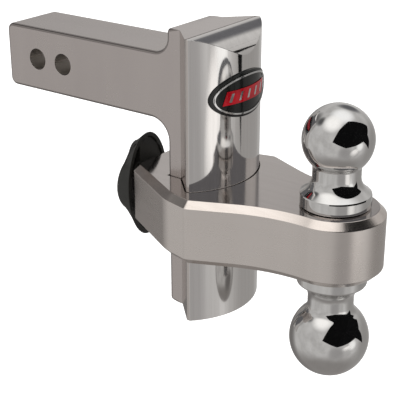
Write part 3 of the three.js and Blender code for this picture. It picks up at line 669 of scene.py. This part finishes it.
def mount_plan():
    """Straight rear wall, bent flanks, a shoulder and a concave taper to a round tip."""
    shoulder = Vector((post_high.x - SHOULDER_SETBACK, HEAD_HALF_WIDTH + SHOULDER_WALL))
    slope = Vector((math.cos(TAPER_ANGLE), -math.sin(TAPER_ANGLE)))
    outward = Vector((-slope.y, slope.x))
    tip = Vector((BALL_X, 0))
    depth = (shoulder - tip).dot(outward)
    reach = math.sqrt((TAPER_RADIUS + TIP_RADIUS) ** 2 - (TAPER_RADIUS + depth) ** 2)
    sweep = tip + outward * (TAPER_RADIUS + depth) - slope * reach
    foot = sweep - outward * TAPER_RADIUS
    to_tip = tip - sweep
    sweep_angle = math.atan2(to_tip.y, to_tip.x) - math.atan2(-outward.y, -outward.x)
    tip_angle = 2 * (math.atan2(to_tip.y, to_tip.x) + math.pi)
    bend = Vector((POST_REAR + BEND_OFFSET, HEAD_HALF_WIDTH + BEND_WALL))
    return (
        Outline(mount_low.x, 0).line(mount_low.x, REAR_HALF_WIDTH, REAR_CORNER_RADIUS, 16)
        .line(*bend, BEND_RADIUS, 12).line(*shoulder, SHOULDER_RADIUS, 8).line(*foot)
        .arc(*sweep, sweep_angle, 24).arc(*tip, -tip_angle, 72).arc(sweep.x, -sweep.y, sweep_angle, 24)
        .line(shoulder.x, -shoulder.y, SHOULDER_RADIUS, 8).line(bend.x, -bend.y, BEND_RADIUS, 12)
        .line(mount_low.x, -REAR_HALF_WIDTH, REAR_CORNER_RADIUS, 16).closed())


def chamfer_ends(bm, low, high, width):
    """A 45 degree chamfer round the two flat ends of a prism."""
    for z in (low, high):
        end = [face for face in bm.faces if all(abs(vert.co.z - z) < WELD for vert in face.verts)]
        bmesh.ops.inset_region(bm, faces=end, thickness=width, use_boundary=True, use_even_offset=True)
        inner = {vert for face in end for vert in face.verts}
        rim = [vert for vert in bm.verts if abs(vert.co.z - z) < WELD and vert not in inner]
        bmesh.ops.translate(bm, vec=(0, 0, width if z == low else -width), verts=rim)
    bmesh.ops.recalc_face_normals(bm, faces=bm.faces)
    return bm


def mount_face_finish(face):
    """Polished flat ends, polished chamfers, a bored slot, and satin walls."""
    centre, normal = face.center, face.normal
    at_end = centre.z > mount_high.z - CUT_MARGIN or centre.z < mount_low.z + CUT_MARGIN
    if at_end and abs(normal.z) > 0.98:
        return MOUNT_POLISHED
    if 0.5 < abs(normal.z) < 0.9:
        return MOUNT_CHAMFER
    in_slot = (
        math.hypot(centre.x - NOSE_CENTRE, centre.y) < NOSE_RADIUS + CUT_MARGIN
        and centre.x > POST_REAR - CUT_MARGIN and abs(centre.y) < HEAD_HALF_WIDTH + CUT_MARGIN)
    return BORED_ALUMINIUM if in_slot else MOUNT_SATIN


def dowel_hole(z):
    """The hole for the dowel that keeps a ball's flange from turning on the block's face at z."""
    centre = (BALL_X - DOWEL_OFFSET, 0, 0)
    return rod(DOWEL_RADIUS + TOUCH_GAP, z - DOWEL_REACH, z + DOWEL_REACH, "Z", centre, 32)


def make_mount():
    bm = raise_outline(mount_plan(), mount_low.z, mount_high.z)
    mount = piece("ball_mount_block", chamfer_ends(bm, mount_low.z, mount_high.z, MOUNT_CHAMFER_WIDTH))
    low, high = mount_low.z - CUT_MARGIN, mount_high.z + CUT_MARGIN
    slot = raise_outline(post_plan(SLOT_CLEARANCE, POST_REAR - SLOT_CLEARANCE), low, high)
    combine(mount, slot, "DIFFERENCE")
    combine(mount, rod(STUD_BORE_RADIUS, low, high, "Z", (BALL_X, 0, 0)), "DIFFERENCE")
    housing = rod(HOUSING_RADIUS, mount_low.x - CUT_MARGIN, POST_REAR + CUT_MARGIN, "X", (0, 0, LOCK_Z))
    combine(mount, housing, "DIFFERENCE")
    for z in (mount_low.z, mount_high.z):
        combine(mount, dowel_hole(z), "DIFFERENCE")
    paint(mount, [MOUNT_SATIN, MOUNT_POLISHED, MOUNT_CHAMFER, BORED_ALUMINIUM], mount_face_finish)
    shade(mount, 12, MOUNT_EDGE_BREAK, 25, 3)
    return place(mount, "ball_mount", "mount_aluminium", "ball_mount_body")


# Balls

def ball_profile(outline, flange, flange_top, neck, radius, centre, ball_fillet):
    """Half a ball's profile from its flange's side to its pole, about the axis at x = 0.

    The flange has a rounded upper edge. Above it a cone and a concave fillet lead into the neck, and a
    second fillet leads out of the neck onto the ball.
    """
    cone_foot = flange - FLANGE_EDGE
    flange_top += FLANGE_SHOULDER
    fillet_rise = NECK_FILLET * math.sin(NECK_SLOPE)
    fillet_reach = NECK_FILLET * (1 - math.cos(NECK_SLOPE))
    cone_rise = (cone_foot - neck - fillet_reach) / math.tan(NECK_SLOPE)
    fillet_foot = flange_top + cone_rise
    fillet_out = neck + ball_fillet
    fillet_down = math.sqrt((radius + ball_fillet) ** 2 - fillet_out ** 2)
    neck_angle = math.atan2(fillet_out, fillet_down)
    outline.line(flange, flange_top - 1.5 * FLANGE_EDGE)
    outline.line(flange - 0.3 * FLANGE_EDGE, flange_top - 0.5 * FLANGE_EDGE).line(cone_foot, flange_top)
    outline.line(neck + fillet_reach, fillet_foot)
    outline.arc(neck + NECK_FILLET, fillet_foot + fillet_rise, -NECK_SLOPE, 10)
    outline.line(neck, centre - fillet_down)
    outline.arc(fillet_out, centre - fillet_down, neck_angle - math.pi / 2, 10)
    outline.arc(0, centre, math.pi - neck_angle, 64)


def make_top_ball():
    seat = mount_high.z + TOUCH_GAP
    foot = mount_low.z - TOUCH_GAP
    outline = Outline(0, foot - STUD_THREAD_LENGTH)
    outline.line(STUD_THREAD_RADIUS, foot - STUD_THREAD_LENGTH).line(STUD_THREAD_RADIUS, foot + FLANGE_EDGE)
    outline.line(STUD_RADIUS, foot + FLANGE_EDGE).line(STUD_RADIUS, seat)
    outline.line(TOP_FLANGE_RADIUS - FLANGE_EDGE, seat).line(TOP_FLANGE_RADIUS, seat + FLANGE_EDGE)
    ball_profile(
        outline, TOP_FLANGE_RADIUS, seat + TOP_FLANGE_HEIGHT, TOP_NECK_RADIUS, TOP_BALL_RADIUS,
        top_high.z - TOP_BALL_RADIUS, TOP_BALL_FILLET)
    bmesh.ops.transform(outline.bm, matrix=XY_TO_XZ, verts=outline.bm.verts)
    ball = piece("upper_ball", turn_round_z(outline.bm, BALL_X))
    combine(ball, dowel_hole(mount_high.z), "DIFFERENCE")
    ball.data.materials.append(BALL_CHROME)
    shade(ball, 14, BALL_EDGE_BREAK, 22, 2)
    return place(ball, "ball_mount", "ball_chrome", "top_ball")


def make_bottom_ball():
    seat = mount_low.z - TOUCH_GAP
    hole_end = STUD_THREAD_LENGTH + TOUCH_GAP
    thread = STUD_THREAD_RADIUS + TOUCH_GAP
    outline = Outline(0, hole_end).line(thread, hole_end).line(thread, 0)
    outline.line(BOTTOM_FLANGE_RADIUS - FLANGE_EDGE, 0).line(BOTTOM_FLANGE_RADIUS, FLANGE_EDGE)
    ball_profile(
        outline, BOTTOM_FLANGE_RADIUS, BOTTOM_FLANGE_HEIGHT, BOTTOM_NECK_RADIUS, BOTTOM_BALL_RADIUS,
        seat - bottom_low.z - BOTTOM_BALL_RADIUS, BOTTOM_BALL_FILLET)
    upside_down = Matrix.Translation((0, 0, seat)) @ Matrix.Rotation(math.pi, 4, "X") @ XY_TO_XZ
    bmesh.ops.transform(outline.bm, matrix=upside_down, verts=outline.bm.verts)
    ball = piece("lower_ball", turn_round_z(outline.bm, BALL_X))
    combine(ball, dowel_hole(mount_low.z), "DIFFERENCE")
    ball.data.materials.append(BALL_CHROME)
    shade(ball, 14, BALL_EDGE_BREAK, 22, 2)
    return place(ball, "ball_mount", "ball_chrome", "bottom_ball")


# Badge

def nose_sheet(bm, lift, thickness):
    """A thin plate bent round the nose, with an outline drawn in Y and Z."""
    raised = raise_outline(bm, POST_REAR, post_high.x + 4 * BADGE_THICKNESS)
    prism = piece("nose_sheet", stand_up(raised, XY_TO_YZ))
    inner = NOSE_RADIUS + lift
    height = 2 * BADGE_HALF_HEIGHT
    section = (
        Outline(inner, -height).line(inner + thickness, -height).line(inner + thickness, height)
        .line(inner, height).closed())
    bmesh.ops.transform(section, matrix=XY_TO_XZ, verts=section.verts)
    bmesh.ops.rotate(section, matrix=Matrix.Rotation(-SHEET_SPAN / 2, 3, "Z"), verts=section.verts)
    bmesh.ops.spin(
        section, geom=section.verts[:] + section.edges[:] + section.faces[:], cent=(0, 0, 0),
        axis=(0, 0, 1), angle=SHEET_SPAN, steps=SHEET_STEPS)
    bmesh.ops.remove_doubles(section, verts=section.verts, dist=WELD)
    open_edges = [edge for edge in section.edges if edge.is_boundary]
    bmesh.ops.holes_fill(section, edges=open_edges, sides=4)
    bmesh.ops.recalc_face_normals(section, faces=section.faces)
    bmesh.ops.translate(section, vec=(NOSE_CENTRE, 0, 0), verts=section.verts)
    return combine(prism, section, "INTERSECT")


def ellipse(half_width, half_height):
    bm = bmesh.new()
    bmesh.ops.create_circle(bm, cap_ends=True, segments=120, radius=1)
    bmesh.ops.scale(bm, vec=(half_width, half_height, 1), verts=bm.verts)
    return bm


def trim(name, made, material, slot, *nodes, edge=BADGE_EDGE_BREAK):
    """Names and finishes one layer of the badge, which sits on the post."""
    made.name = name
    made.data.materials.append(material)
    shade(made, 12, edge, 30, 2)
    return place(made, "receiver_shank", slot, *nodes)


def slanted_bar(centre, half_width, half_height):
    left, right = centre - half_width, centre + half_width
    lean = half_height * math.tan(BAND_SLANT)
    return (
        Outline(left - lean, -half_height).line(right - lean, -half_height)
        .line(right + lean, half_height).line(left + lean, half_height).closed())


def make_badge():
    plate = nose_sheet(ellipse(BADGE_HALF_WIDTH, BADGE_HALF_HEIGHT), TOUCH_GAP, BADGE_THICKNESS)
    trim("badge_plate_enamel", plate, BADGE_BLACK, "badge_black", "badge_plate")
    face = 2 * TOUCH_GAP + BADGE_THICKNESS
    outer = ellipse(BADGE_HALF_WIDTH - BEZEL_INSET, BADGE_HALF_HEIGHT - BEZEL_INSET)
    rim = nose_sheet(outer, face, BADGE_TRIM_THICKNESS)
    inset = BEZEL_INSET + BEZEL_WIDTH
    inner = ellipse(BADGE_HALF_WIDTH - inset, BADGE_HALF_HEIGHT - inset)
    combine(rim, stand_up(raise_outline(inner, POST_REAR, 2 * post_high.x), XY_TO_YZ), "DIFFERENCE")
    trim("badge_rim", rim, BADGE_SILVER, "badge_silver", "badge_bezel")
    band_thickness = BADGE_TRIM_THICKNESS - BAR_THICKNESS
    band = nose_sheet(slanted_bar(0, BAND_HALF_WIDTH, BAND_HALF_HEIGHT), face, band_thickness)
    trim("badge_red_band", band, BADGE_RED, "badge_red", "badge_band", edge=BAND_EDGE_BREAK)
    for number in range(BAR_COUNT):
        centre = (number - (BAR_COUNT - 1) / 2) * BAR_PITCH
        outline = slanted_bar(centre, BAR_WIDTH / 2, BAR_HALF_HEIGHT)
        bar = nose_sheet(outline, face + band_thickness, BAR_THICKNESS)
        trim(f"badge_bar_{number + 1}", bar, BADGE_SILVER, "badge_silver", edge=0)


# Knob

def along_x(bm, start, end):
    """A flat outline in Y and Z about the lock's axis, raised from x = start to x = end."""
    solid = stand_up(raise_outline(bm, start, end), XY_TO_YZ)
    bmesh.ops.translate(solid, vec=(0, 0, LOCK_Z), verts=solid.verts)
    return solid


def knob_solid(inset, start, end):
    """A round rear face with two narrow ears, which widens to an upright oval at the front.

    inset shrinks it all round.
    """
    bm = bmesh.new()
    bmesh.ops.create_circle(bm, cap_ends=True, segments=144, radius=1)
    bm = along_x(bm, start, end)
    for vert in bm.verts:
        y, z = vert.co.y, vert.co.z - LOCK_Z
        if vert.co.x > (start + end) / 2:
            radius = 1 / math.hypot(y / (KNOB_SIDE_RADIUS - inset), z / (KNOB_EAR_RADIUS - inset))
        else:
            ear = abs(z) ** KNOB_EAR_SHARPNESS
            radius = KNOB_SIDE_RADIUS + (KNOB_REAR_EAR_RADIUS - KNOB_SIDE_RADIUS) * ear - inset
        vert.co.y, vert.co.z = y * radius, LOCK_Z + z * radius
    return bm


def hexagon(radius):
    bm = bmesh.new()
    bmesh.ops.create_circle(bm, cap_ends=True, segments=6, radius=radius)
    bmesh.ops.bevel(
        bm, geom=bm.verts[:], offset=HUB_CORNER, offset_type="OFFSET", segments=4, profile=0.5,
        affect="VERTICES", material=-1)
    return bm


def ear_fill(side):
    """Fills an ear almost to its front, but for a finger pocket along one side.

    side is 1 for the upper ear and -1 for the lower one, which is the same half a turn on.
    """
    front = knob_high.x - KNOB_RIB_RECESS
    inside = piece("ear_fill", knob_solid(KNOB_WALL / 2, knob_low.x + KNOB_WALL / 2, front))
    reach = 2 * KNOB_EAR_RADIUS
    across = sorted((-side * KNOB_POCKET_EDGE, side * reach))
    upright = sorted((0, side * reach))
    low = (knob_low.x, across[0], LOCK_Z + upright[0])
    high = (knob_high.x, across[1], LOCK_Z + upright[1])
    combine(inside, box_solid(low, high), "INTERSECT")
    bm = bmesh.new()
    bm.from_mesh(inside.data)
    bpy.data.objects.remove(inside)
    return bm


def make_knob():
    bm = knob_solid(0, knob_low.x, knob_high.x)
    rear = [edge for edge in bm.edges if all(abs(vert.co.x - knob_low.x) < WELD for vert in edge.verts)]
    bmesh.ops.bevel(
        bm, geom=rear, offset=KNOB_EDGE, offset_type="OFFSET", segments=8, profile=0.5,
        affect="EDGES", material=-1)
    knob = piece("knob_body", bm)
    combine(knob, knob_solid(KNOB_WALL, knob_low.x + KNOB_WALL, knob_high.x + CUT_MARGIN), "DIFFERENCE")
    for side in (-1, 1):
        combine(knob, ear_fill(side), "UNION")
    boss = rod(KNOB_BOSS_RADIUS, knob_low.x + KNOB_WALL / 2, hub_high.x - KNOB_RIB, "X", (0, 0, LOCK_Z))
    combine(knob, boss, "UNION")
    hub_seat = along_x(hexagon(HUB_RADIUS + TOUCH_GAP), hub_low.x - TOUCH_GAP, knob_high.x + CUT_MARGIN)
    combine(knob, hub_seat, "DIFFERENCE")
    eye = rod(KNOB_EYE_RADIUS, knob_low.x - CUT_MARGIN, knob_high.x, "X", (0, 0, LOCK_Z))
    combine(knob, eye, "DIFFERENCE")
    knob.data.materials.append(KNOB_PLASTIC)
    shade(knob, 30, KNOB_EDGE_BREAK, 40, 3)
    return place(knob, "knob", "knob_plastic", "knob_shell")


def make_knob_cap():
    """A low domed disc with a snap skirt behind it."""
    rim = (cap_high.z - cap_low.z) / 2
    face = knob_low.x - TOUCH_GAP
    dome = face - cap_low.x
    skirt = KNOB_EYE_RADIUS - TOUCH_GAP
    skirt_inside = skirt - CAP_SKIRT_THICKNESS
    outline = Outline(0, cap_low.x)
    for radius, drop in ((0.45 * rim, 0.06), (0.8 * rim, 0.22), (rim - 0.3 * dome, 0.38), (rim, 0.75)):
        outline.line(radius, cap_low.x + drop * dome)
    outline.line(rim, face).line(skirt, face).line(skirt, cap_high.x)
    outline.line(skirt_inside, cap_high.x).line(skirt_inside, face).line(0, face)
    bmesh.ops.transform(outline.bm, matrix=XY_TO_XZ, verts=outline.bm.verts)
    solid = turn_round_z(outline.bm, 0, 72)
    bmesh.ops.rotate(solid, matrix=Matrix.Rotation(math.pi / 2, 3, "Y"), verts=solid.verts)
    bmesh.ops.translate(solid, vec=(0, 0, LOCK_Z), verts=solid.verts)
    cap = piece("knob_cap_disc", solid)
    cap.data.materials.append(KNOB_PLASTIC)
    shade(cap, 28, CAP_EDGE_BREAK, 40, 2)
    return place(cap, "knob", "knob_plastic", "knob_cap")


def dress_inner_pieces():
    """The pieces inside the lock keep their frame shapes and get their own finishes."""
    finishes = {
        "upper_ball_dowel": PIN_STEEL, "lower_ball_dowel": PIN_STEEL, "pin_guide_bush": BUSH_BRONZE,
        "pin_o_ring": SEAL_RUBBER, "pin_spring": SPRING_STEEL, "cam_sleeve": PIN_STEEL,
        "locking_pin": PIN_STEEL, "spring_washer": SPRING_STEEL, "cross_pin": PIN_STEEL,
        "knob_hub": PIN_STEEL, "knob_snap_ring": SPRING_STEEL, "knob_thrust_washer": WASHER_NYLON,
    }
    for name, material in finishes.items():
        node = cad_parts[name]
        node.data.materials.clear()
        node.data.materials.append(material)


# Studio: headings are an azimuth, from +X towards +Y, and a height above the horizon, in degrees
CAMERA_EYE = Vector((0.6397, -0.6210, 0.2320))
CAMERA_AIM = Vector((0.1733, 0, -0.0942))
CAMERA_LENS = 98.35
CAMERA_ROLL = math.radians(0.159)
STUDIO_CENTRE = Vector((BALL_X, 0, -0.09))
FLOOR_Z = post_low.z - 160 * MM

# Each patch of the tent: its heading, how many degrees out it is full and gone, and its colour
TENT_PATCHES = [
    ((0, -90), 26, 64, (0.31, 0.295, 0.285)),
    ((150, -25), 12, 46, (0.21, 0.20, 0.195)),
    ((104, 33), 6, 20, (0.15, 0.15, 0.16)),
    ((177, 22), 6, 26, (0.16, 0.155, 0.155)),
    ((-160, 43), 2, 16, (0.12, 0.12, 0.12)),
    ((66, -22), 12, 48, (0.36, 0.35, 0.34)),
    ((-38, -25), 5, 27, (0.40, 0.39, 0.385)),
    ((80, 79), 0, 34, (1.25, 1.25, 1.25)),
    ((-105, 64), 0, 34, (1.35, 1.33, 1.3)),
    ((8, -9), 1, 15, (1.2, 1.2, 1.18)),
]

# The unlit side's corners, seen from the studio's centre, and the thin gap at its lower corner
DARK_SIDE = [
    (-79, 10), (-38, -7), (20, 1), (45, -20), (45, -4), (43, 8), (60, 18), (42, 43), (9, 66), (-59, 49)]
DARK_SIDE_MIDDLE = (-5, 27)
DARK_GAP = [(44.9, -5), (45, -30), (45.1, -5)]
DARK_SIDE_DISTANCE = 3


def heading(azimuth, elevation):
    around, above = math.radians(azimuth), math.radians(elevation)
    level = math.cos(above)
    return Vector((level * math.cos(around), level * math.sin(around), math.sin(above)))


def make_camera():
    data = bpy.data.cameras.new("camera")
    data.lens = CAMERA_LENS
    data.sensor_width = 36
    camera = bpy.data.objects.new("camera", data)
    forward = (CAMERA_AIM - CAMERA_EYE).normalized()
    right = forward.cross(Vector((0, 0, 1))).normalized()
    up = right.cross(forward)
    level = Matrix((right, up, -forward)).transposed()
    roll = Matrix.Rotation(CAMERA_ROLL, 3, forward)
    camera.matrix_world = Matrix.Translation(CAMERA_EYE) @ (roll @ level).to_4x4()
    bpy.context.scene.collection.objects.link(camera)
    bpy.context.scene.camera = camera


def tent_patch(tree, direction, tent, towards, full, gone, colour):
    """Adds a soft round patch to the tent's colour."""
    facing = tree.nodes.new("ShaderNodeVectorMath")
    facing.operation = "DOT_PRODUCT"
    link(tree, direction, facing.inputs[0])
    facing.inputs[1].default_value = heading(*towards)
    share = tree.nodes.new("ShaderNodeMapRange")
    share.interpolation_type = "SMOOTHSTEP"
    link(tree, facing.outputs["Value"], share.inputs["Value"])
    share.inputs["From Min"].default_value = math.cos(math.radians(gone))
    share.inputs["From Max"].default_value = math.cos(math.radians(full))
    return mix_colour(tree, share.outputs["Result"], tent, colour)


def make_world():
    """White behind the object; for reflections a grey tent with lighter and darker patches."""
    world = bpy.data.worlds.new("studio")
    world.use_nodes = True
    tree = world.node_tree
    background = tree.nodes["Background"]
    direction = tree.nodes.new("ShaderNodeTexCoord").outputs["Generated"]
    cloth = range_node(tree, noise_node(tree, direction, 2.6, 3, 0.5), 0.35, 0.65, 0, 1)
    tent = mix_colour(tree, cloth, (0.55, 0.54, 0.53), (0.68, 0.67, 0.66))
    for towards, full, gone, colour in TENT_PATCHES:
        tent = tent_patch(tree, direction, tent, towards, full, gone, colour)
    link(tree, tent, background.inputs["Color"])
    plain = tree.nodes.new("ShaderNodeBackground")
    plain.inputs["Color"].default_value = (1, 1, 1, 1)
    path = tree.nodes.new("ShaderNodeLightPath")
    mix = tree.nodes.new("ShaderNodeMixShader")
    link(tree, path.outputs["Is Camera Ray"], mix.inputs["Fac"])
    link(tree, background.outputs[0], mix.inputs[1])
    link(tree, plain.outputs[0], mix.inputs[2])
    link(tree, mix.outputs[0], tree.nodes["World Output"].inputs["Surface"])
    bpy.context.scene.world = world


def stage_card(name, bm, colour, glow=0.0, far_glow=None):
    """A matt card of the studio, which casts no shadow and which the camera doesn't see unless told to.

    Only a card without a glow of its own is mirrored in the object, unless told otherwise. far_glow is
    a card's light as seen in the reflection of a reflection.
    """
    card = piece(name, bm)
    material = bpy.data.materials.new(name)
    material.use_nodes = True
    tree = material.node_tree
    shader = tree.nodes["Principled BSDF"]
    shader.inputs["Base Color"].default_value = (*colour, 1)
    shader.inputs["Roughness"].default_value = 1
    shader.inputs["Specular IOR Level"].default_value = 0
    shader.inputs["Emission Color"].default_value = (*colour, 1)
    shader.inputs["Emission Strength"].default_value = glow
    if far_glow is not None:
        depth = tree.nodes.new("ShaderNodeLightPath").outputs["Glossy Depth"]
        again = math_node(tree, "GREATER_THAN", depth, 1.5)
        link(tree, math_node(tree, "MULTIPLY", again, far_glow), shader.inputs["Emission Strength"])
    card.data.materials.append(material)
    card.visible_camera = False
    card.visible_shadow = False
    card.visible_glossy = glow == 0
    card.visible_diffuse = False
    return card


def make_dark_side():
    """The unlit side of the studio behind the camera, as the polished pieces mirror it."""
    bm = bmesh.new()

    def corner(towards):
        return bm.verts.new(STUDIO_CENTRE + DARK_SIDE_DISTANCE * heading(*towards))

    middle = corner(DARK_SIDE_MIDDLE)
    rim = [corner(towards) for towards in DARK_SIDE]
    for first, second in zip(rim, rim[1:] + rim[:1]):
        bm.faces.new((middle, first, second))
    bm.faces.new([corner(towards) for towards in DARK_GAP])
    stage_card("dark_side", bm, (0.012, 0.0122, 0.013), far_glow=15)


def make_floor_glow():
    """The brightly lit stretch of floor in front, which fades out towards its edges."""
    bm = bmesh.new()
    bmesh.ops.create_grid(bm, x_segments=1, y_segments=1, size=0.5)
    bmesh.ops.scale(bm, vec=(0.95, 0.42, 1), verts=bm.verts)
    bmesh.ops.translate(bm, vec=(1.19, -0.12, FLOOR_Z + 1 * MM), verts=bm.verts)
    card = stage_card("floor_glow", bm, (0.5, 0.49, 0.48), glow=1.45)
    card.visible_glossy = True
    tree = card.data.materials[0].node_tree
    spread = tree.nodes.new("ShaderNodeMapping")
    spread.inputs["Location"].default_value = (-1, -1, 0)
    spread.inputs["Scale"].default_value = (2, 2, 0)
    link(tree, tree.nodes.new("ShaderNodeTexCoord").outputs["Generated"], spread.inputs["Vector"])
    fade = tree.nodes.new("ShaderNodeTexGradient")
    fade.gradient_type = "SPHERICAL"
    link(tree, spread.outputs[0], fade.inputs["Vector"])
    share = range_node(tree, fade.outputs["Fac"], 0, 0.55, 0, 1)
    link(tree, share, tree.nodes["Principled BSDF"].inputs["Alpha"])


def make_floor():
    bm = bmesh.new()
    bmesh.ops.create_grid(bm, x_segments=1, y_segments=1, size=4)
    bmesh.ops.translate(bm, vec=(0, 0, FLOOR_Z), verts=bm.verts)
    card = stage_card("floor", bm, (0.9, 0.9, 0.9), glow=0.8)
    card.visible_camera = True


def make_key_light():
    """A square soft box above the camera's side, aimed at the balls."""
    data = bpy.data.lights.new("key", "AREA")
    data.shape = "RECTANGLE"
    data.size = data.size_y = 0.7
    data.energy = 3
    light = bpy.data.objects.new("key", data)
    stand = Vector((0.75, -0.95, 0.75))
    aim = (stand - STUDIO_CENTRE).to_track_quat("Z", "Y").to_matrix().to_4x4()
    light.matrix_world = Matrix.Translation(stand) @ aim
    light.visible_glossy = False
    bpy.context.scene.collection.objects.link(light)


def make_studio():
    bpy.context.scene.view_settings.view_transform = "Standard"
    make_world()
    make_key_light()
    make_dark_side()
    make_floor_glow()
    make_floor()


make_camera()
make_post()
make_mount()
make_top_ball()
make_bottom_ball()
make_badge()
make_knob()
make_knob_cap()
dress_inner_pieces()
make_studio()
